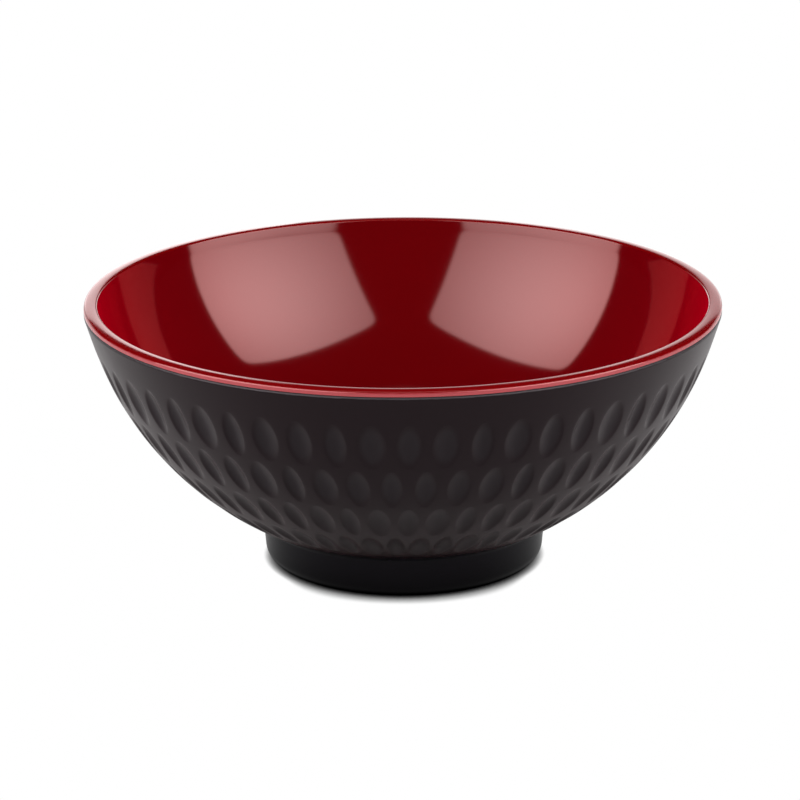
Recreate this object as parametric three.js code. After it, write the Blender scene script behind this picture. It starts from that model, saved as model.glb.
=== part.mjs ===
// A two-tone melamine serving bowl: a matte black outer shell with scooped dimples and a moulded foot ring,
// and a glossy red liner whose rim caps the shell. Millimetres, +Z up, standing on z = 0 about the Z axis.

import * as THREE from 'three';
import { mergeGeometries, mergeVertices } from 'three/addons/utils/BufferGeometryUtils.js';

// Overall size
const RIM_DIAMETER = 205;
const HEIGHT = 87;

// Walls: both mouldings follow spheres about one centre, so each has an even thickness
const SHELL_THICKNESS = 2.4;
const LINER_THICKNESS = 1.9;
const BOND_GAP = 0.1;

// Rim of the liner, a quarter of an ellipse that falls outwards to the seam, with a small round inside
const RIM_HEIGHT = 1.8;
const RIM_INNER_ROUND = 0.6;

// Shoulder of the shell, below the seam: a plain strip leaves the wall there and ends in a round
const SHOULDER_ROUND = 0.8;
const SHOULDER_FLARE = 0.35;

// Foot ring, moulded in one with the shell
const FOOT_HEIGHT = 13.4;
const FOOT_TOP_DIAMETER = 92;
const FOOT_BOTTOM_DIAMETER = 87.8;
const FOOT_WIDTH = 5;
const FOOT_INNER_DRAFT = 1.2;
const FOOT_EDGE_ROUND = 2;
const FOOT_FILLET = 1.5;

// Dimples: rows of upright oval scoops on the wall, each row turned half a pitch from the one above.
// Angles run down the wall from the level of the sphere's centre.
const DIMPLES_ROUND = 54;
const DIMPLE_ROWS = 4;
const FIRST_ROW_ANGLE = THREE.MathUtils.degToRad(22.5);
const ROW_PITCH_ANGLE = THREE.MathUtils.degToRad(9.8);
const DIMPLE_LENGTH = 16.6;
const TOP_DIMPLE_WIDTH = 7.8;
const BOTTOM_DIMPLE_WIDTH = 6.2;
const DIMPLE_DEPTH = 0.8;
const KEEL_SHARE = 0.5;

// Hand-cut look: the scoops differ a little in width, by a turn that never falls into step with the rows
const WIDTH_VARIATION = 0.1;
const VARIATION_TURN = 2.4;

// Facets: two to a dimple pitch, so that the corners of the dimple cells fall on the revolved profile
const SEGMENTS = 2 * DIMPLES_ROUND;
const WALL_STEPS = 6;
const ROUND_STEPS = 3;
const SMALL_ROUND_STEPS = 2;
const RIM_STEPS = 4;
const UNDERSIDE_STEPS = 3;
const WELD = 1e-4;

const DOWN = -Math.PI / 2;
const UP = Math.PI / 2;

// The outer wall lies on a sphere about the axis, through the top of the foot and just inside the shoulder.
const rimRadius = RIM_DIAMETER / 2;
const flangeHeight = HEIGHT - RIM_HEIGHT;
const shellHeight = flangeHeight - BOND_GAP;
const wallTop = new THREE.Vector2(rimRadius - SHOULDER_FLARE, shellHeight - SHOULDER_ROUND);
const wallFoot = new THREE.Vector2(FOOT_TOP_DIAMETER / 2, FOOT_HEIGHT);
const centreHeight = (wallTop.lengthSq() - wallFoot.lengthSq()) / (2 * (wallTop.y - wallFoot.y));
const wallRadius = Math.hypot(wallFoot.x, centreHeight - wallFoot.y);
const bondRadius = wallRadius - SHELL_THICKNESS;
const linerRadius = bondRadius - BOND_GAP;
const foodRadius = linerRadius - LINER_THICKNESS;

// The band of the wall that holds the dimples, in the wall's own angles.
const bandTop = FIRST_ROW_ANGLE - ROW_PITCH_ANGLE / 2;
const bandBottom = bandTop + DIMPLE_ROWS * ROW_PITCH_ANGLE;

// Points of an arc about (x, y), with both its ends.
function arc(x, y, radius, from, to, steps = ROUND_STEPS) {
  return new THREE.EllipseCurve(x, y, radius, radius, from, to, to < from).getPoints(steps);
}

// Points of a sphere about the bowl's centre, between two angles.
function sphereArc(radius, from, to, steps = WALL_STEPS) {
  return arc(0, centreHeight, radius, from, to, steps);
}

// Angle at which a sphere about the bowl's centre comes to a height.
function angleAtHeight(radius, height) {
  return Math.asin((height - centreHeight) / radius);
}

// Angle at which the lower half of such a sphere comes to a distance from the axis.
function angleAtReach(radius, reach) {
  return -Math.acos(reach / radius);
}

// A solid of revolution about Z, or part of one, from a profile of (reach, height) points.
function revolve(points) {
  return new THREE.LatheGeometry(points, SEGMENTS).rotateX(Math.PI / 2);
}

// Red moulding: bonded face, flange over the shell, rim and food surface, from the axis back to the axis.
function linerProfile() {
  const lipHeight = HEIGHT - RIM_INNER_ROUND;
  const lipAngle = angleAtHeight(foodRadius, lipHeight);
  const lipReach = foodRadius * Math.cos(lipAngle) + RIM_INNER_ROUND;
  const crown = new THREE.EllipseCurve(lipReach, flangeHeight, rimRadius - lipReach, RIM_HEIGHT, 0, UP);
  return [
    ...sphereArc(linerRadius, DOWN, angleAtHeight(linerRadius, flangeHeight)),
    ...crown.getPoints(RIM_STEPS),
    ...arc(lipReach, lipHeight, RIM_INNER_ROUND, UP, Math.PI, SMALL_ROUND_STEPS).slice(1),
    ...sphereArc(foodRadius, lipAngle, DOWN).slice(1),
  ];
}

// Centre of the fillet that touches the tapered side of the foot and the wall above it.
function filletCentre(draft) {
  const downSide = new THREE.Vector2(-Math.sin(draft), -Math.cos(draft));
  const outOfSide = new THREE.Vector2(Math.cos(draft), -Math.sin(draft));
  const centre = wallFoot.clone().addScaledVector(outOfSide, FOOT_FILLET);
  const fromBowl = centre.clone().sub(new THREE.Vector2(0, centreHeight));
  const along = fromBowl.dot(downSide);
  const reach = wallRadius + FOOT_FILLET;
  return centre.addScaledVector(downSide, Math.sqrt(along ** 2 + reach ** 2 - fromBowl.lengthSq()) - along);
}

// Black moulding below the dimples: underside, foot ring and the wall up to the band.
function footProfile() {
  const outer = FOOT_BOTTOM_DIAMETER / 2;
  const inner = outer - FOOT_WIDTH;
  const draft = Math.atan2(wallFoot.x - outer, FOOT_HEIGHT);
  const edgeReach = outer - FOOT_EDGE_ROUND * (1 / Math.cos(draft) - Math.tan(draft));
  const fillet = filletCentre(draft);
  const touch = Math.atan2(fillet.y - centreHeight, fillet.x);
  return [
    ...sphereArc(wallRadius, DOWN, angleAtReach(wallRadius, inner - FOOT_INNER_DRAFT), UNDERSIDE_STEPS),
    new THREE.Vector2(inner, 0),
    ...arc(edgeReach, FOOT_EDGE_ROUND, FOOT_EDGE_ROUND, DOWN, -draft),
    ...arc(fillet.x, fillet.y, FOOT_FILLET, Math.PI - draft, Math.PI + touch, SMALL_ROUND_STEPS),
    ...sphereArc(wallRadius, touch, -bandBottom, 1).slice(1),
  ];
}

// Black moulding above the dimples: plain strip, rounded shoulder, top edge and bonded face.
function shoulderProfile() {
  return [
    new THREE.Vector2(wallRadius * Math.cos(bandTop), centreHeight - wallRadius * Math.sin(bandTop)),
    ...arc(rimRadius - SHOULDER_ROUND, wallTop.y, SHOULDER_ROUND, -bandTop, UP),
    ...sphereArc(bondRadius, angleAtHeight(bondRadius, shellHeight), DOWN),
  ];
}

// A place on the outer wall, sunk below it along the sphere's radius.
function onWall(turn, angle, depth) {
  const radius = wallRadius - depth;
  const reach = radius * Math.cos(angle);
  return [reach * Math.sin(turn), -reach * Math.cos(turn), centreHeight - radius * Math.sin(angle)];
}

// Adds the triangles between two closed loops of as many points, where points of the inner one may repeat.
function bridge(corners, outer, inner) {
  for (let i = 0; i < outer.length; i += 1) {
    const next = (i + 1) % outer.length;
    corners.push(...outer[i], ...inner[i], ...outer[next]);
    if (inner[i] !== inner[next]) corners.push(...outer[next], ...inner[i], ...inner[next]);
  }
}

// One cell of the band: its border, an oval mouth inside it, and the keel of the scoop below the mouth.
function dimpleCell(corners, row, index) {
  const turn = 2 * Math.PI * (index + row / 2) / DIMPLES_ROUND;
  const angle = FIRST_ROW_ANGLE + row * ROW_PITCH_ANGLE;
  const width = THREE.MathUtils.mapLinear(row, 0, DIMPLE_ROWS - 1, TOP_DIMPLE_WIDTH, BOTTOM_DIMPLE_WIDTH)
    * (1 + WIDTH_VARIATION * Math.sin(VARIATION_TURN * (index + DIMPLES_ROUND * row)));
  const mouthTurn = width / 2 / (wallRadius * Math.cos(angle));
  const mouthAngle = DIMPLE_LENGTH / 2 / wallRadius;
  const keel = [-1, 0, 1].map((end) => {
    const along = end * KEEL_SHARE;
    return onWall(turn, angle + along * mouthAngle, DIMPLE_DEPTH * (1 - along * along));
  });

  // Eight ways round from the top of the cell: straight up, up and right, right, and so on
  const across = [0, 1, 1, 1, 0, -1, -1, -1];
  const downward = [-1, -1, 0, 1, 1, 1, 0, -1];
  const border = across.map((side, i) => onWall(
    turn + side * Math.PI / DIMPLES_ROUND, angle + downward[i] * ROW_PITCH_ANGLE / 2, 0));
  const mouth = across.map((side, i) => {
    const oval = Math.hypot(side, downward[i]);
    return onWall(turn + side / oval * mouthTurn, angle + downward[i] / oval * mouthAngle, 0);
  });
  bridge(corners, border, mouth);
  bridge(corners, mouth, downward.map((end) => keel[end + 1]));
}

// The dimpled band of the wall, cell by cell.
function dimpledBand() {
  const corners = [];
  for (let row = 0; row < DIMPLE_ROWS; row += 1) {
    for (let index = 0; index < DIMPLES_ROUND; index += 1) dimpleCell(corners, row, index);
  }
  return new THREE.BufferGeometry().setAttribute('position', new THREE.Float32BufferAttribute(corners, 3));
}

// The black moulding: the band of dimples welded between the two revolved stretches.
function shellGeometry() {
  const stretches = [revolve(footProfile()), revolve(shoulderProfile())].map((lathe) => {
    const bare = lathe.toNonIndexed();
    bare.deleteAttribute('normal');
    bare.deleteAttribute('uv');
    return bare;
  });
  const shell = mergeVertices(mergeGeometries([dimpledBand(), ...stretches]), WELD);
  shell.computeVertexNormals();
  return shell;
}

function piece(name, geometry, color, roughness) {
  const material = new THREE.MeshStandardMaterial({ color, roughness, metalness: 0 });
  const mesh = new THREE.Mesh(geometry, material);
  mesh.name = name;
  return mesh;
}

const bowl = new THREE.Group();
bowl.add(piece('outer_shell', shellGeometry(), 0x1a1718, 0.55));
bowl.add(piece('inner_liner', revolve(linerProfile()), 0x640203, 0.1));

export default bowl;
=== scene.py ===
"""Looks of a two-tone melamine serving bowl: a glossy red liner and rim in a satin black, dimpled shell.

Metres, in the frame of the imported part: +Z up, the bowl standing on z = 0 about the Z axis, with its front
at -Y.
"""

from math import acos, asin, atan2, cos, hypot, pi, radians, sin, sqrt, tan

import bmesh
import bpy
from mathutils import Matrix, Vector


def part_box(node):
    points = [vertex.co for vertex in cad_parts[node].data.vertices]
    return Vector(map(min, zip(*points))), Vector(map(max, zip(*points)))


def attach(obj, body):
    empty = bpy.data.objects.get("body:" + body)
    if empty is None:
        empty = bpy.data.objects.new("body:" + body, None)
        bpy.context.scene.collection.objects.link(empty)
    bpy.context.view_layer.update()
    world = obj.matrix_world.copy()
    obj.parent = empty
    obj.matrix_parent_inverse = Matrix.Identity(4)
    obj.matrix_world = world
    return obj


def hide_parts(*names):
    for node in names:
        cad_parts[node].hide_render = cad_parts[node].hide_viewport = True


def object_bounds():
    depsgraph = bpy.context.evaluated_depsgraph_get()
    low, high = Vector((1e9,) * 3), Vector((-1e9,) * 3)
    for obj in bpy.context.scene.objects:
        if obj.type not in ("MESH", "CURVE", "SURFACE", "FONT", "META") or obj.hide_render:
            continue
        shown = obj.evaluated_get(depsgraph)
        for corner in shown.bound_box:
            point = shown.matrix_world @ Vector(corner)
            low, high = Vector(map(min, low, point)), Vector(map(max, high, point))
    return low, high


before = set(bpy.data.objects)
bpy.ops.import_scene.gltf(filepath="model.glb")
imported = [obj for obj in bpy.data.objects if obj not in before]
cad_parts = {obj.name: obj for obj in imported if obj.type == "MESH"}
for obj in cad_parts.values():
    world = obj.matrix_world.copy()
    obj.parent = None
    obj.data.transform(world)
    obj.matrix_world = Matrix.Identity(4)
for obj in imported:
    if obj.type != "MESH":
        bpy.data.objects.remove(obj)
cad_low, cad_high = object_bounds()

MM = 0.001
DOWN = -pi / 2

# Sizes that the frame gives
RIM_RADIUS = cad_high.x
HEIGHT = cad_high.z
SHELL_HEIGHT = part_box("outer_shell")[1].z

# Walls: both mouldings follow spheres about one centre
SHELL_THICKNESS = 2.4 * MM
LINER_THICKNESS = 1.9 * MM
BOND_GAP = 0.1 * MM

# Rim of the liner: three arcs that run on smoothly, from the lip inside over the crown to the outer edge
RIM_INNER_ROUND = 0.45 * MM
CROWN_RADIUS = 12 * MM
CROWN_INNER_FALL = radians(7)
RIM_OUTER_ROUND = 0.9 * MM
FLANGE_EDGE_ROUND = 0.12 * MM
# Width of the pale pink highlight painted along the rim's outer edge
RIM_HIGHLIGHT_WIDTH = 0.18 * MM

# Shoulder of the shell, below the seam
SHOULDER_ROUND = 0.8 * MM
SHOULDER_FLARE = 0.35 * MM

# Foot ring
FOOT_HEIGHT = 13.4 * MM
FOOT_TOP_RADIUS = 46 * MM
FOOT_BOTTOM_RADIUS = 44.8 * MM
FOOT_WIDTH = 6.8 * MM
FOOT_INNER_DRAFT = 1.2 * MM
FOOT_EDGE_ROUND = 5 * MM
FOOT_INNER_EDGE_ROUND = 0.8 * MM
FOOT_FILLET = 1.5 * MM

# Dimples: rows of upright oval scoops, each row turned half a pitch from the one above
DIMPLES_ROUND = 54
DIMPLE_ROWS = 4
FIRST_ROW_ANGLE = radians(22.6)
ROW_PITCH_ANGLE = radians(10.1)
DIMPLE_LENGTH = 16.6 * MM
TOP_DIMPLE_WIDTH = 7.8 * MM
BOTTOM_DIMPLE_WIDTH = 6.0 * MM
DIMPLE_DEPTH = 1.1 * MM
DIMPLE_EDGE_SOFTNESS = 0.2 * MM
OVAL_POWER = 1.85
WIDTH_VARIATION = 0.12
VARIATION_TURN = 2.4

# Below the dimples the wall turns as smooth as the foot over this angle, and is painted near-black there as
# shade
SMOOTHING_ANGLE = radians(3)

# Mesh fineness: loops of a scoop in shares of its mouth, loops of the land in shares of the way out
CELL_SIDE_STEPS = 8
SCOOP_LOOPS = (0.25, 0.5, 0.7, 0.82, 0.9, 0.95, 0.98, 1.0)
LAND_LOOPS = (0.04, 0.1, 0.25, 0.6, 1.0)
SEGMENTS = DIMPLES_ROUND * CELL_SIDE_STEPS
ROUND_STEPS = 12
WALL_STEPS = 48
HIDDEN_STEPS = 12
WELD = 0.5e-6

# Camera, from the photograph's perspective
CAMERA_BACK = 1238.5 * MM
CAMERA_UP = 439.8 * MM
CAMERA_LENS = 180
CAMERA_SENSOR = 36
CAMERA_PITCH = radians(17.37)
CAMERA_YAW = radians(-0.05)
CAMERA_ROLL = radians(-0.33)
FRONT_TURN = radians(-1.0)

# Softboxes beside the camera: corners from the inner lower one, bright middle in shares of the sides
LEFT_SOFTBOX = ((-0.73, -1.72, 0.45), (-1.92, 0.16, 0.18), (-1.47, 0.33, 1.31), (-0.27, -1.24, 1.52))
RIGHT_SOFTBOX = ((0.79, -1.69, 0.46), (1.92, 0.09, 0.19), (1.49, 0.19, 1.31), (0.28, -1.22, 1.54))
SOFTBOX_MIDDLE = (0.64, 0.48)
SOFTBOX_SPREAD = (0.62, 0.8)
SOFTBOX_CORNER_POWER = 14
SOFTBOX_SOFT_EDGE = 0.06
SOFTBOX_STEPS = 12
SOFTBOX_RADIANCE = 4.2

# Soft round light overhead, with its bright middle as a share of its radius
TOP_LIGHT_DISTANCE = 2.0
TOP_LIGHT_DIAMETER = 1.2
TOP_LIGHT_MIDDLE = 0.35
TOP_LIGHT_LEAN = radians(1.5)
TOP_LIGHT_RADIANCE = 1.2

# Two low lights behind the bowl
BACK_LIGHT_AZIMUTH = radians(168.5)
BACK_LIGHT_ELEVATION = radians(9)
BACK_LIGHT_DISTANCE = 4.0
BACK_LIGHT_SIZE = 1.25
LEFT_BACK_RADIANCE = 1.65
RIGHT_BACK_RADIANCE = 0.95

# White floor, which sweeps up a little all round and to a backdrop behind the bowl
FLOOR_RADIUS = 8.0
FLOOR_CURVE = 0.5
SIDE_SWEEP_HEIGHT = 0.8
BACKDROP_HEIGHT = 3.2
BACKDROP_LIT_HEIGHT = (1.6, 2.4)
BACKDROP_HALF_SPREAD = radians(40)
BACKDROP_EDGE = radians(10)
SWEEP_STEPS = 8
FLOOR_SEGMENTS = 96
PAPER_WHITE = (0.8, 0.8, 0.8, 1)

# Shadow of the bowl on the floor, and the floor as the bowl's gloss shows it, dimmer to the front
SIDE_CONTACT_REACH = 3 * MM
FRONT_CONTACT_REACH = 7 * MM
CONTACT_POWER = 2
CONTACT_CLEAR = 0.75
SHADOW_SAMPLES = 8
OWN_SHADOW_REACH = 250 * MM
FLOOR_FRONT = (-0.4, -0.95)
DIM_FRONT = 0.8
DARK_UNDER_FOOT = (43 * MM, 46 * MM)
ROOM_LEVEL = 0.01

# Reds, the darkest and the palest of each mottling
FOOD_REDS = ((0.092, 0.0002, 0.0002), (0.100, 0.0003, 0.0004))
# Painted light: the rim's red is a copy of the food surface's red, painted about twice as bright
RIM_PAINTED_LIGHT_REDS = ((0.195, 0.0002, 0.0004), (0.21, 0.0003, 0.0006))
# Pale pink of the highlight painted along the rim's outer round
RIM_HIGHLIGHT_PINK = (0.40, 0.05, 0.06, 1)

# Blacks of the wall, from plain to scooped, low and smooth, its grey under the seam, and the blacks of the
# foot; all but the plain blacks are painted light or shade
WALL_BLACKS = ((0.0042, 0.0028, 0.0036), (0.0052, 0.0036, 0.0045))
# Painted light: a paler black in the scoops
SCOOP_PAINTED_LIGHT_BLACK = (0.0100, 0.0093, 0.0107, 1)
# Painted light: a lighter black low down on the wall, as light from the floor
LOW_WALL_LIGHT_BLACK = (0.0185, 0.0160, 0.0155, 1)
# Painted shade: a near-black on the smooth strip just above the foot
STRIP_SHADE_BLACK = (0.0010, 0.0008, 0.0014, 1)
# Painted highlight: a grey on the shoulder under the seam
SEAM_HIGHLIGHT_GREY = (0.06, 0.056, 0.06, 1)
# Painted shade: the foot's blacks, darker than the wall's and darkest at the floor
FOOT_SHADE_BLACKS = ((0.0002, 0.0001, 0.0003), (0.0024, 0.0016, 0.0030))

# Where the painted light changes: shares of a scoop's depth, heights of the low wall, and its share of the
# lighter low black
SCOOP_LIGHT_DEPTHS = (0.1, 0.7)
LOW_WALL_LIGHT_HEIGHTS = (55 * MM, 22 * MM)
LOW_WALL_LIGHT_SHARE = 0.55

# Polish and grain, with their scales in waves to the metre
FOOD_ROUGHNESS = (0.055, 0.075)
RIM_ROUGHNESS = (0.07, 0.10)
WALL_ROUGHNESS = (0.30, 0.37)
SMOOTH_ROUGHNESS = 0.14
FOOT_ROUGHNESS = (0.13, 0.15)
RED_MOTTLE_SCALE = 60
RED_POLISH_SCALE = 25
RED_SWIRL_SCALE = 110
RED_SWIRL_DEPTH = 0.004 * MM
BLACK_MOTTLE_SCALE = 400
BLACK_POLISH_SCALE = 90
BLACK_GRAIN_SCALE = 3000
BLACK_GRAIN_DEPTH = 0.01 * MM

# Unevenness of the painted highlights along the rim's outer edge and under the seam
RIM_HIGHLIGHT_EDGE_SCALE = 500
RIM_HIGHLIGHT_UNEVENNESS = 0.08 * MM
SEAM_HIGHLIGHT_EDGE_SCALE = 400
SEAM_HIGHLIGHT_UNEVENNESS = 0.2 * MM

# The outer wall lies on a sphere through the top of the foot and just inside the shoulder
wall_foot = Vector((FOOT_TOP_RADIUS, FOOT_HEIGHT))
wall_top = Vector((RIM_RADIUS - SHOULDER_FLARE, SHELL_HEIGHT - SHOULDER_ROUND))
centre_height = (wall_top.length_squared - wall_foot.length_squared) / (2 * (wall_top.y - wall_foot.y))
wall_radius = hypot(wall_foot.x, centre_height - wall_foot.y)
bond_radius = wall_radius - SHELL_THICKNESS
liner_radius = bond_radius - BOND_GAP
food_radius = liner_radius - LINER_THICKNESS
flange_height = SHELL_HEIGHT + BOND_GAP
band_top = FIRST_ROW_ANGLE - ROW_PITCH_ANGLE / 2
band_bottom = band_top + DIMPLE_ROWS * ROW_PITCH_ANGLE
band_bottom_height = centre_height - wall_radius * sin(band_bottom)
smooth_height = centre_height - wall_radius * sin(band_bottom + SMOOTHING_ANGLE)


def arc(x, y, radius, start, end, steps=ROUND_STEPS):
    """Points of an arc about (x, y), with both its ends."""
    turns = [start + (end - start) * i / steps for i in range(steps + 1)]
    return [(x + radius * cos(t), y + radius * sin(t)) for t in turns]


def sphere_arc(radius, start, end, steps=WALL_STEPS):
    """Points of a sphere about the bowl's centre, between two angles."""
    return arc(0, centre_height, radius, start, end, steps)


def angle_at_height(radius, height):
    """Angle at which a sphere about the bowl's centre comes to a height."""
    return asin((height - centre_height) / radius)


def angle_at_reach(radius, reach):
    """Angle at which the lower half of such a sphere comes to a distance from the axis."""
    return -acos(reach / radius)


class Skin:
    """A mesh in the making: points, and the faces between loops of them."""

    def __init__(self):
        self.points = []
        self.faces = []

    def loop(self, points):
        """Adds points to the mesh and gives their numbers."""
        start = len(self.points)
        self.points.extend(points)
        return list(range(start, len(self.points)))

    def bridge(self, outer, inner):
        """Faces between two closed loops, where a loop of one point is a tip."""
        count = max(len(outer), len(inner))
        for i in range(count):
            corners = [outer[i % len(outer)], outer[(i + 1) % len(outer)],
                       inner[(i + 1) % len(inner)], inner[i % len(inner)]]
            self.faces.append(list(dict.fromkeys(corners)))

    def revolve(self, profile):
        """Faces of a profile of (reach, height) points, turned about Z from the front."""
        before = None
        for reach, height in profile:
            count = 1 if abs(reach) < WELD else SEGMENTS
            turns = [2 * pi * i / SEGMENTS for i in range(count)]
            ring = self.loop([(reach * sin(t), -reach * cos(t), height) for t in turns])
            if before:
                self.bridge(before, ring)
            before = ring

    def make(self, name, material):
        """The finished object, welded, with smooth shading."""
        mesh = bpy.data.meshes.new(name)
        mesh.from_pydata(self.points, [], self.faces)
        made = bmesh.new()
        made.from_mesh(mesh)
        bmesh.ops.remove_doubles(made, verts=made.verts, dist=WELD)
        made.to_mesh(mesh)
        made.free()
        mesh.shade_smooth()
        mesh.materials.append(material)
        piece = bpy.data.objects.new(name, mesh)
        bpy.context.scene.collection.objects.link(piece)
        return piece


def rim_profile():
    """The rim from the seam over the crown to the food surface, and the angle where that starts."""
    inner_end = pi / 2 + CROWN_INNER_FALL
    crown_height = HEIGHT - CROWN_RADIUS
    lip_height = crown_height + (CROWN_RADIUS - RIM_INNER_ROUND) * sin(inner_end)
    lip_reach = sqrt((food_radius + RIM_INNER_ROUND) ** 2 - (centre_height - lip_height) ** 2)
    crown_reach = lip_reach - (CROWN_RADIUS - RIM_INNER_ROUND) * cos(inner_end)
    inset = CROWN_RADIUS - RIM_OUTER_ROUND
    outer_end = acos((RIM_RADIUS - RIM_OUTER_ROUND - crown_reach) / inset)
    outer_height = crown_height + inset * sin(outer_end)
    edge = flange_height + FLANGE_EDGE_ROUND
    touch = atan2(lip_height - centre_height, lip_reach)
    profile = [
        *arc(RIM_RADIUS - FLANGE_EDGE_ROUND, edge, FLANGE_EDGE_ROUND, DOWN, 0),
        *arc(RIM_RADIUS - RIM_OUTER_ROUND, outer_height, RIM_OUTER_ROUND, 0, outer_end),
        *arc(crown_reach, crown_height, CROWN_RADIUS, outer_end, inner_end)[1:],
        *arc(lip_reach, lip_height, RIM_INNER_ROUND, inner_end, pi + touch)[1:],
    ]
    return profile, touch


def make_liner(food_material, rim_material):
    """Red moulding: bonded face, flange over the shell, rim and food surface."""
    rim, touch = rim_profile()
    skin = Skin()
    skin.revolve([
        *sphere_arc(liner_radius, DOWN, angle_at_height(liner_radius, flange_height), HIDDEN_STEPS),
        *rim,
        *sphere_arc(food_radius, touch, DOWN)[1:],
    ])
    liner = skin.make("red_liner", food_material)
    liner.data.materials.append(rim_material)
    middle = Vector((0, 0, centre_height))
    for face in liner.data.polygons:
        face.material_index = int((face.center - middle).length > food_radius)
    return liner


def foot_profile():
    """Underside, foot ring, fillet and the plain wall up to the dimples."""
    inner = FOOT_BOTTOM_RADIUS - FOOT_WIDTH
    draft = atan2(FOOT_TOP_RADIUS - FOOT_BOTTOM_RADIUS, FOOT_HEIGHT)
    edge = FOOT_BOTTOM_RADIUS - FOOT_EDGE_ROUND * (1 / cos(draft) - tan(draft))
    down_side = Vector((-sin(draft), -cos(draft)))
    out_of_side = Vector((cos(draft), -sin(draft)))
    fillet = wall_foot + out_of_side * FOOT_FILLET
    from_bowl = fillet - Vector((0, centre_height))
    along = from_bowl.dot(down_side)
    reach = wall_radius + FOOT_FILLET
    fillet += down_side * (sqrt(along ** 2 + reach ** 2 - from_bowl.length_squared) - along)
    touch = atan2(fillet.y - centre_height, fillet.x)
    return [
        *sphere_arc(wall_radius, DOWN, angle_at_reach(wall_radius, inner - FOOT_INNER_DRAFT), HIDDEN_STEPS),
        *arc(inner + FOOT_INNER_EDGE_ROUND, FOOT_INNER_EDGE_ROUND, FOOT_INNER_EDGE_ROUND, pi, 3 * pi / 2),
        *arc(edge, FOOT_EDGE_ROUND, FOOT_EDGE_ROUND, DOWN, -draft),
        *arc(fillet.x, fillet.y, FOOT_FILLET, pi - draft, pi + touch),
        *sphere_arc(wall_radius, touch, -band_bottom, HIDDEN_STEPS)[1:],
    ]


def shoulder_profile():
    """Plain strip above the dimples, rounded shoulder, top edge and bonded face."""
    return [
        (wall_radius * cos(band_top), centre_height - wall_radius * sin(band_top)),
        *arc(RIM_RADIUS - SHOULDER_ROUND, wall_top.y, SHOULDER_ROUND, -band_top, pi / 2),
        *sphere_arc(bond_radius, angle_at_height(bond_radius, SHELL_HEIGHT), DOWN, HIDDEN_STEPS),
    ]


def on_wall(turn, angle, depth):
    """A place on the outer wall, sunk below it along the sphere's radius."""
    radius = wall_radius - depth
    reach = radius * cos(angle)
    return (reach * sin(turn), -reach * cos(turn), centre_height - radius * sin(angle))


def scoop_depth(share):
    """Depth of a scoop at a share of the way out to its mouth, whose edge is a little rounded."""
    bare = DIMPLE_DEPTH * (1 - share ** 2)
    return (bare + sqrt(bare ** 2 + DIMPLE_EDGE_SOFTNESS ** 2)) / 2


def oval_reach(across, along):
    """How far out a place is, where 1 is on the edge of an oval of unit half width and half length."""
    return (abs(across) ** OVAL_POWER + abs(along) ** OVAL_POWER) ** (1 / OVAL_POWER)


def cell_border():
    """Sideways and downward shares of the points round a dimple's cell, from its top left corner."""
    shares = [2 * i / CELL_SIDE_STEPS - 1 for i in range(CELL_SIDE_STEPS)]
    return [
        *[(s, -1) for s in shares],
        *[(1, s) for s in shares],
        *[(-s, 1) for s in shares],
        *[(-1, -s) for s in shares],
    ]


def dimple_cell(skin, row, index):
    """One scoop and the land round it, as loops from its middle out to the cell's border."""
    turn = 2 * pi * (index + row / 2) / DIMPLES_ROUND
    angle = FIRST_ROW_ANGLE + row * ROW_PITCH_ANGLE
    width = TOP_DIMPLE_WIDTH + (BOTTOM_DIMPLE_WIDTH - TOP_DIMPLE_WIDTH) * row / (DIMPLE_ROWS - 1)
    width *= 1 + WIDTH_VARIATION * sin(VARIATION_TURN * (index + DIMPLES_ROUND * row))
    mouth_turn = width / 2 / (wall_radius * cos(angle))
    mouth_angle = DIMPLE_LENGTH / 2 / wall_radius
    half_turn = pi / DIMPLES_ROUND
    half_angle = ROW_PITCH_ANGLE / 2

    border = cell_border()
    mouth = []
    for side, down in border:
        out = oval_reach(side, down)
        mouth.append((side / out * mouth_turn, down / out * mouth_angle))

    before = skin.loop([on_wall(turn, angle, scoop_depth(0))])
    for share in SCOOP_LOOPS:
        depth = scoop_depth(share)
        loop = skin.loop([on_wall(turn + share * u, angle + share * v, depth) for u, v in mouth])
        skin.bridge(before, loop)
        before = loop
    for share in LAND_LOOPS:
        points = []
        for (side, down), (u, v) in zip(border, mouth):
            across = u + share * (side * half_turn - u)
            along = v + share * (down * half_angle - v)
            out = oval_reach(across / mouth_turn, along / mouth_angle)
            points.append(on_wall(turn + across, angle + along, scoop_depth(out) * (1 - share) ** 2))
        loop = skin.loop(points)
        skin.bridge(before, loop)
        before = loop


def make_shell(wall_material, foot_material):
    """Black moulding: the dimpled band between the two plain stretches, with the foot's smoother finish and
    painted shade low down.
    """
    skin = Skin()
    skin.revolve(foot_profile())
    skin.revolve(shoulder_profile())
    for row in range(DIMPLE_ROWS):
        for index in range(DIMPLES_ROUND):
            dimple_cell(skin, row, index)
    shell = skin.make("black_shell", wall_material)
    shell.data.materials.append(foot_material)
    for face in shell.data.polygons:
        face.material_index = int(face.center.z < smooth_height)
    return shell


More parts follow.
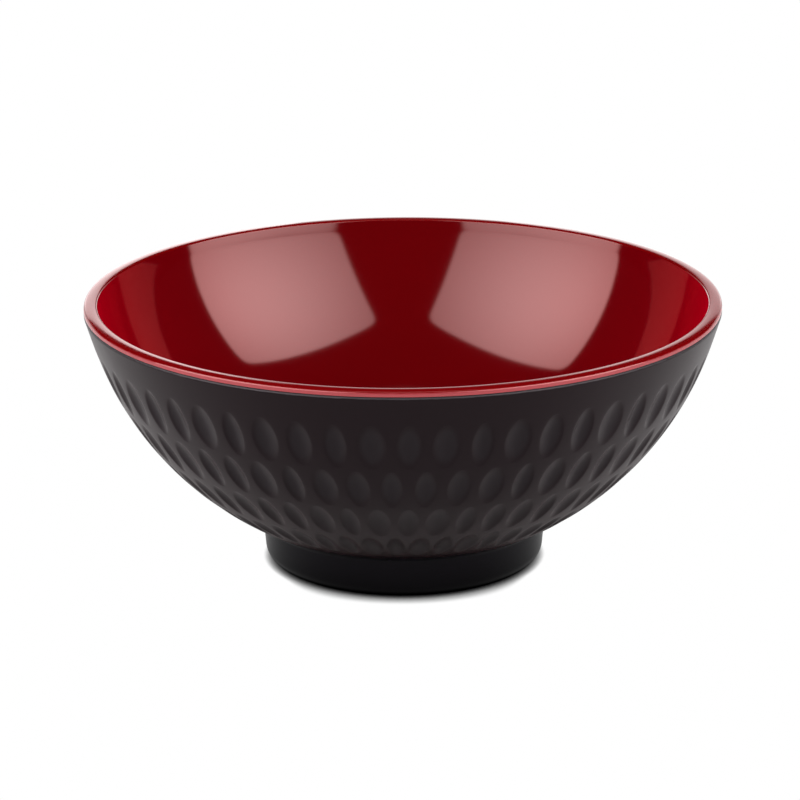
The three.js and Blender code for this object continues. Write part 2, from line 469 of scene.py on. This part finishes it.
class Nodes:
    """The node tree of a material or a lamp, with short ways to add and join nodes."""

    def __init__(self, owner):
        owner.use_nodes = True
        self.owner = owner
        self.tree = owner.node_tree
        self.tree.nodes.clear()

    def add(self, kind, inputs=None, **settings):
        """A new node, with its settings, and its inputs set to values or joined to other nodes."""
        node = self.tree.nodes.new(kind)
        for key, value in settings.items():
            setattr(node, key, value)
        for key, value in (inputs or {}).items():
            if isinstance(value, bpy.types.NodeSocket):
                self.tree.links.new(value, node.inputs[key])
            else:
                node.inputs[key].default_value = value
        return node

    def place(self):
        """The place on the object, in its own coordinates."""
        return self.add("ShaderNodeTexCoord").outputs["Object"]

    def axes(self, vector):
        """The X, Y and Z of a vector, by name."""
        return self.add("ShaderNodeSeparateXYZ", {"Vector": vector}).outputs

    def maths(self, operation, first, second=0.0):
        """One operation on two numbers."""
        return self.add("ShaderNodeMath", {0: first, 1: second}, operation=operation).outputs[0]

    def length(self, vector):
        return self.add("ShaderNodeVectorMath", {0: vector}, operation="LENGTH").outputs["Value"]

    def distance(self, first, second):
        node = self.add("ShaderNodeVectorMath", {0: first, 1: second}, operation="DISTANCE")
        return node.outputs["Value"]

    def noise(self, scale, detail=2.0):
        """A cloudy factor from 0 to 1 over the object."""
        node = self.add("ShaderNodeTexNoise", {"Vector": self.place(), "Scale": scale, "Detail": detail})
        return node.outputs["Fac"]

    def step(self, value, low, high):
        """A smooth step from 0 to 1 between two values."""
        node = self.add("ShaderNodeMapRange", {"Value": value, "From Min": low, "From Max": high},
                        interpolation_type="SMOOTHSTEP")
        return node.outputs["Result"]

    def between(self, factor, low, high):
        """A value that runs from low to high as a factor runs from 0 to 1."""
        node = self.add("ShaderNodeMapRange", {"Value": factor, "To Min": low, "To Max": high})
        return node.outputs["Result"]

    def colours(self, factor, low, high):
        """A colour that runs from low to high as a factor runs from 0 to 1."""
        node = self.add("ShaderNodeValToRGB", {"Fac": factor})
        node.color_ramp.elements[0].color = (*low, 1)
        node.color_ramp.elements[1].color = (*high, 1)
        return node.outputs["Color"]

    def mix(self, factor, first, second):
        """A colour between two others, by a factor from 0 to 1."""
        return self.add("ShaderNodeMix", {0: factor, 6: first, 7: second}, data_type="RGBA").outputs[2]

    def bump(self, height, distance):
        """The normal of a surface that is raised by a factor from 0 to 1 of a distance."""
        inputs = {"Height": height, "Distance": distance, "Strength": 1.0}
        return self.add("ShaderNodeBump", inputs).outputs["Normal"]

    def surface(self, shader):
        """Ends the tree of a material in its surface, and gives the material."""
        self.add("ShaderNodeOutputMaterial", {"Surface": shader})
        return self.owner


def red_melamine():
    """Deep lacquer red of the food surface: a clear gloss under a thin red coat, with a red sheen."""
    nodes = Nodes(bpy.data.materials.new("red_melamine"))
    shader = nodes.add("ShaderNodeBsdfPrincipled", {
        "Base Color": nodes.colours(nodes.noise(RED_MOTTLE_SCALE), *FOOD_REDS),
        "Roughness": nodes.between(nodes.noise(RED_POLISH_SCALE), *FOOD_ROUGHNESS),
        "IOR": 1.9,
        "Coat Weight": 1.0,
        "Coat Roughness": 0.05,
        "Coat IOR": 1.05,
        "Coat Tint": (1, 0.605, 0.59, 1),
        "Sheen Weight": 1.0,
        "Sheen Roughness": 0.6,
        "Sheen Tint": (1, 0.0, 0.03, 1),
        "Normal": nodes.bump(nodes.noise(RED_SWIRL_SCALE, 1), RED_SWIRL_DEPTH),
    })
    return nodes.surface(shader.outputs["BSDF"])


def red_rim():
    """The food red painted brighter along the rim as painted light, with a reddish gloss and a pale pink
    painted highlight along its outer edge.
    """
    nodes = Nodes(bpy.data.materials.new("red_rim"))
    level = nodes.add("ShaderNodeVectorMath", {0: nodes.place(), 1: (1, 1, 0)}, operation="MULTIPLY")
    reach = nodes.length(level.outputs[0])
    # Painted highlight: a pale pink line with an uneven edge along the rim's outer edge
    uneven = nodes.between(nodes.noise(RIM_HIGHLIGHT_EDGE_SCALE, 3), -RIM_HIGHLIGHT_UNEVENNESS, RIM_HIGHLIGHT_UNEVENNESS)
    rim_highlight_reach = RIM_RADIUS - RIM_HIGHLIGHT_WIDTH
    rim_highlight = nodes.step(nodes.maths("ADD", reach, uneven), rim_highlight_reach, rim_highlight_reach + RIM_HIGHLIGHT_WIDTH / 2)
    # Painted light: a brighter copy of the food red along the rim
    red = nodes.colours(nodes.noise(RED_MOTTLE_SCALE), *RIM_PAINTED_LIGHT_REDS)
    shader = nodes.add("ShaderNodeBsdfPrincipled", {
        "Base Color": nodes.mix(rim_highlight, red, RIM_HIGHLIGHT_PINK),
        "Roughness": nodes.between(nodes.noise(RED_POLISH_SCALE), *RIM_ROUGHNESS),
        "IOR": 1.9,
        "Specular Tint": (1, 0.56, 0.55, 1),
        "Sheen Weight": 0.12,
        "Sheen Roughness": 0.7,
        "Sheen Tint": (1, 0.0, 0.02, 1),
        "Normal": nodes.bump(nodes.noise(RED_SWIRL_SCALE, 1), RED_SWIRL_DEPTH),
    })
    return nodes.surface(shader.outputs["BSDF"])


def black_melamine():
    """Warm satin black of the wall, painted paler in the scoops and lower down as light, with a grey
    highlight painted under the seam and near-black shade painted above the foot.
    """
    nodes = Nodes(bpy.data.materials.new("black_melamine"))
    height = nodes.axes(nodes.place())["Z"]
    # Painted highlight: a grey band with an uneven edge on the shoulder under the seam
    uneven = nodes.between(nodes.noise(SEAM_HIGHLIGHT_EDGE_SCALE, 3), -SEAM_HIGHLIGHT_UNEVENNESS, SEAM_HIGHLIGHT_UNEVENNESS)
    seam_highlight = nodes.step(nodes.maths("ADD", height, uneven), wall_top.y, wall_top.y + SHOULDER_ROUND / 2)
    black = nodes.colours(nodes.noise(BLACK_MOTTLE_SCALE, 4), *WALL_BLACKS)
    out = nodes.distance(nodes.place(), (0, 0, centre_height))
    # Painted light: the scoops are painted paler than the land round them
    scoop_light = nodes.step(out, *(wall_radius - share * DIMPLE_DEPTH for share in SCOOP_LIGHT_DEPTHS))
    black = nodes.mix(scoop_light, black, SCOOP_PAINTED_LIGHT_BLACK)
    # Painted light: the wall is painted lighter low down, as light from the floor
    low = nodes.between(nodes.step(height, *LOW_WALL_LIGHT_HEIGHTS), 0.0, LOW_WALL_LIGHT_SHARE)
    black = nodes.mix(low, black, LOW_WALL_LIGHT_BLACK)
    # Painted shade: the strip above the foot darkens to near-black as it turns smoother
    smooth_and_shaded = nodes.step(height, band_bottom_height, smooth_height)
    black = nodes.mix(smooth_and_shaded, black, STRIP_SHADE_BLACK)
    satin = nodes.between(nodes.noise(BLACK_POLISH_SCALE, 3), *WALL_ROUGHNESS)
    shader = nodes.add("ShaderNodeBsdfPrincipled", {
        "Base Color": nodes.mix(seam_highlight, black, SEAM_HIGHLIGHT_GREY),
        "Roughness": nodes.between(smooth_and_shaded, satin, SMOOTH_ROUGHNESS),
        "IOR": 1.5,
        "Specular IOR Level": 0.2,
        "Specular Tint": (1, 0.74, 0.80, 1),
        "Sheen Weight": 0.025,
        "Sheen Roughness": 0.5,
        "Sheen Tint": (1, 0.3, 0.35, 1),
        "Normal": nodes.bump(nodes.noise(BLACK_GRAIN_SCALE, 3), BLACK_GRAIN_DEPTH),
    })
    return nodes.surface(shader.outputs["BSDF"])


def black_foot():
    """The same black along the foot, smoother than on the wall and painted deeper as shade, deepest at the
    floor.
    """
    nodes = Nodes(bpy.data.materials.new("black_foot"))
    height = nodes.axes(nodes.place())["Z"]
    # Painted shade: the foot darkens towards the floor
    up = nodes.step(height, 0.0, FOOT_HEIGHT)
    shader = nodes.add("ShaderNodeBsdfPrincipled", {
        "Base Color": nodes.colours(up, *FOOT_SHADE_BLACKS),
        "Roughness": nodes.between(nodes.noise(BLACK_POLISH_SCALE, 3), *FOOT_ROUGHNESS),
        "IOR": 1.5,
        "Specular IOR Level": 0.2,
        "Specular Tint": (1, 0.95, 1, 1),
        "Normal": nodes.bump(nodes.noise(BLACK_GRAIN_SCALE, 3), BLACK_GRAIN_DEPTH),
    })
    return nodes.surface(shader.outputs["BSDF"])


def white_floor():
    """White to the camera and in reflections, apart from the object's shadow; see-through from below."""
    nodes = Nodes(bpy.data.materials.new("white_floor"))
    path = nodes.add("ShaderNodeLightPath")
    seen = path.outputs["Is Camera Ray"]
    direct = nodes.maths("MAXIMUM", seen, path.outputs["Is Glossy Ray"])
    direct = nodes.maths("MAXIMUM", direct, path.outputs["Is Transmission Ray"])

    # Close shadow under the foot for the camera, the whole of the bowl's shadow for its own gloss
    place = nodes.add("ShaderNodeNewGeometry")
    depth = nodes.axes(place.outputs["Position"])["Y"]
    front = nodes.step(depth, -FOOT_BOTTOM_RADIUS / 2, -FOOT_BOTTOM_RADIUS)
    contact_reach = nodes.between(front, SIDE_CONTACT_REACH, FRONT_CONTACT_REACH)
    reach = nodes.between(seen, OWN_SHADOW_REACH, contact_reach)
    shadow = nodes.add("ShaderNodeAmbientOcclusion", {"Distance": reach}, samples=SHADOW_SAMPLES)
    open_sky = nodes.maths("POWER", shadow.outputs["AO"], nodes.between(seen, 1.0, CONTACT_POWER))
    clear = nodes.between(seen, 1.0, CONTACT_CLEAR)
    shade = nodes.maths("MINIMUM", nodes.maths("DIVIDE", open_sky, clear), 1.0)

    # The floor before the bowl lies between the softboxes, and the low sweep beside it gets no light
    off = nodes.length(place.outputs["Position"])
    facing_front = nodes.step(nodes.maths("DIVIDE", depth, off), *FLOOR_FRONT)
    lit = nodes.add("ShaderNodeAttribute", attribute_name="lit").outputs["Fac"]
    lit = nodes.maths("MULTIPLY", lit, nodes.between(facing_front, 1.0, DIM_FRONT))
    lit = nodes.maths("MULTIPLY", lit, nodes.step(off, *DARK_UNDER_FOOT))
    level = nodes.maths("MULTIPLY", shade, nodes.maths("MAXIMUM", lit, seen))
    white = nodes.add("ShaderNodeEmission", {"Strength": level})
    paper = nodes.add("ShaderNodeBsdfDiffuse", {"Color": PAPER_WHITE})
    top = nodes.add("ShaderNodeMixShader", {0: direct, 1: paper.outputs[0], 2: white.outputs[0]})
    below = nodes.add("ShaderNodeBsdfTransparent")
    back = place.outputs["Backfacing"]
    both = nodes.add("ShaderNodeMixShader", {0: back, 1: top.outputs[0], 2: below.outputs[0]})
    return nodes.surface(both.outputs[0])


def behind(turn):
    """1 where a direction, turned from the front, falls on the backdrop, and 0 beside it."""
    away = abs(pi - turn % (2 * pi))
    return min(1, max(0, 0.5 + (BACKDROP_HALF_SPREAD - away) / BACKDROP_EDGE))


def make_floor(material):
    """A round floor whose edge sweeps up, a little all round and to a lit backdrop behind the object."""
    skin = Skin()
    before = skin.loop([(0, 0, 0)])
    for step in range(SWEEP_STEPS + 1):
        rise = step / SWEEP_STEPS
        points = []
        for i in range(FLOOR_SEGMENTS):
            turn = 2 * pi * i / FLOOR_SEGMENTS
            height = SIDE_SWEEP_HEIGHT + (BACKDROP_HEIGHT - SIDE_SWEEP_HEIGHT) * behind(turn)
            reach = FLOOR_RADIUS + FLOOR_CURVE * sin(rise * pi / 2)
            points.append((reach * sin(turn), -reach * cos(turn), height * (1 - cos(rise * pi / 2))))
        loop = skin.loop(points)
        skin.bridge(loop, before)
        before = loop
    floor = skin.make("floor", material)
    lit = floor.data.attributes.new("lit", "FLOAT", "POINT")
    full, none = BACKDROP_LIT_HEIGHT
    for vertex in floor.data.vertices:
        flat = vertex.co.z < WELD
        fade = min(1, max(0, (none - vertex.co.z) / (none - full)))
        lit.data[vertex.index].value = 1.0 if flat else fade * behind(atan2(vertex.co.x, -vertex.co.y))


def facing(direction):
    """A turn that looks back along a direction, with its X level."""
    across = Vector((0, 0, 1)).cross(direction).normalized()
    return Matrix((across, direction.cross(across), direction)).transposed()


def in_view(point):
    """A place given from the camera's side, turned with the camera about the bowl."""
    return Matrix.Rotation(FRONT_TURN, 3, "Z") @ Vector(point)


def softbox_glow():
    """Light of a softbox, brightest about its middle and soft at its edges, from its front alone."""
    nodes = Nodes(bpy.data.materials.new("softbox_glow"))
    place = nodes.axes(nodes.add("ShaderNodeUVMap", uv_map="panel").outputs["UV"])
    spread = 1.0
    edge = 0.0
    for axis, middle, width in zip("XY", SOFTBOX_MIDDLE, SOFTBOX_SPREAD):
        off = nodes.maths("DIVIDE", nodes.maths("SUBTRACT", place[axis], middle), width)
        spread = nodes.maths("ADD", nodes.maths("MULTIPLY", off, off), spread)
        share = nodes.maths("ABSOLUTE", nodes.between(place[axis], -1.0, 1.0))
        edge = nodes.maths("ADD", nodes.maths("POWER", share, SOFTBOX_CORNER_POWER), edge)
    edge = nodes.maths("POWER", edge, 1 / SOFTBOX_CORNER_POWER)
    level = nodes.maths("MULTIPLY", nodes.step(edge, 1.0, 1.0 - SOFTBOX_SOFT_EDGE), SOFTBOX_RADIANCE)
    level = nodes.maths("DIVIDE", level, spread)
    back = nodes.add("ShaderNodeNewGeometry").outputs["Backfacing"]
    level = nodes.maths("MULTIPLY", level, nodes.maths("SUBTRACT", 1.0, back))
    return nodes.surface(nodes.add("ShaderNodeEmission", {"Strength": level}).outputs[0])


def make_softbox(name, corners, material):
    """A glowing panel between four corners, as a fine grid so that its glow is even."""
    inner_low, outer_low, outer_high, inner_high = (in_view(corner) for corner in corners)
    shares = [i / SOFTBOX_STEPS for i in range(SOFTBOX_STEPS + 1)]
    grid = [(u, v) for v in shares for u in shares]
    points = [inner_low.lerp(outer_low, u).lerp(inner_high.lerp(outer_high, u), v) for u, v in grid]
    row = SOFTBOX_STEPS + 1
    faces = []
    for start in range(SOFTBOX_STEPS * row):
        if start % row < SOFTBOX_STEPS:
            corner_places = [start, start + 1, start + 1 + row, start + row]
            along = points[start + 1] - points[start]
            up = points[start + row] - points[start]
            towards = along.cross(up).dot(points[start])
            faces.append(corner_places if towards < 0 else corner_places[::-1])
    mesh = bpy.data.meshes.new(name)
    mesh.from_pydata(points, [], faces)
    panel = mesh.uv_layers.new(name="panel")
    for loop in mesh.loops:
        panel.data[loop.index].uv = grid[loop.vertex_index]
    mesh.materials.append(material)
    softbox = bpy.data.objects.new(name, mesh)
    softbox.visible_camera = False
    bpy.context.scene.collection.objects.link(softbox)


def area_light(name, azimuth, elevation, distance, size, radiance, shape):
    """A lamp that faces the bowl's mouth, from a direction turned from the front and up from level."""
    level = cos(elevation)
    direction = in_view((sin(azimuth) * level, -cos(azimuth) * level, sin(elevation)))
    light = bpy.data.lights.new(name, "AREA")
    light.shape = shape
    light.size = size
    light.energy = radiance * pi * size ** 2 * (pi / 4 if shape == "DISK" else 1)
    lamp = bpy.data.objects.new(name, light)
    target = Vector((0, 0, HEIGHT))
    lamp.matrix_world = Matrix.Translation(target + direction * distance) @ facing(direction).to_4x4()
    lamp.visible_camera = False
    bpy.context.scene.collection.objects.link(lamp)
    return light


def soften(light, middle):
    """Lets a round lamp fade out to its edge from a bright middle, a share of its radius wide."""
    nodes = Nodes(light)
    place = nodes.add("ShaderNodeNewGeometry").outputs["Parametric"]

    # A lamp's own coordinates run from 0 to 1, so its edge lies 0.5 from its middle
    off = nodes.distance(place, (0.5, 0.5, 0))
    glow = nodes.add("ShaderNodeEmission", {"Strength": nodes.step(off, 0.5, 0.5 * middle)})
    nodes.add("ShaderNodeOutputLight", {"Surface": glow.outputs[0]})


def make_lights():
    """The softboxes, the light overhead, the two behind, and a nearly dark room round them."""
    glow = softbox_glow()
    make_softbox("left_softbox", LEFT_SOFTBOX, glow)
    make_softbox("right_softbox", RIGHT_SOFTBOX, glow)
    top = area_light("top_light", pi, pi / 2 - TOP_LIGHT_LEAN, TOP_LIGHT_DISTANCE, TOP_LIGHT_DIAMETER,
                     TOP_LIGHT_RADIANCE, "DISK")
    soften(top, TOP_LIGHT_MIDDLE)
    behind_bowl = (("left_back", -1, LEFT_BACK_RADIANCE), ("right_back", 1, RIGHT_BACK_RADIANCE))
    for name, side, radiance in behind_bowl:
        area_light(name, side * BACK_LIGHT_AZIMUTH, BACK_LIGHT_ELEVATION, BACK_LIGHT_DISTANCE,
                   BACK_LIGHT_SIZE, radiance, "SQUARE")
    world = bpy.data.worlds.new("dark_room")
    world.use_nodes = True
    background = world.node_tree.nodes["Background"]
    background.inputs["Color"].default_value = (ROOM_LEVEL, ROOM_LEVEL, ROOM_LEVEL, 1)
    bpy.context.scene.world = world


def make_camera():
    """The camera where the photograph was taken from, turned a little about the bowl."""
    camera = bpy.data.cameras.new("camera")
    camera.lens = CAMERA_LENS
    camera.sensor_width = CAMERA_SENSOR
    holder = bpy.data.objects.new("camera", camera)
    aim = (Matrix.Rotation(-CAMERA_YAW, 4, "Z") @ Matrix.Rotation(pi / 2 - CAMERA_PITCH, 4, "X")
           @ Matrix.Rotation(CAMERA_ROLL, 4, "Z"))
    place = Matrix.Translation((0, -CAMERA_BACK, CAMERA_UP))
    holder.matrix_world = Matrix.Rotation(FRONT_TURN, 4, "Z") @ place @ aim
    bpy.context.scene.collection.objects.link(holder)
    bpy.context.scene.camera = holder


make_camera()
make_lights()
make_floor(white_floor())

liner = make_liner(red_melamine(), red_rim())
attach(liner, "root")
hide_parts("inner_liner")

shell = make_shell(black_melamine(), black_foot())
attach(shell, "root")
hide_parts("outer_shell")

bpy.context.scene.view_settings.view_transform = "Standard"
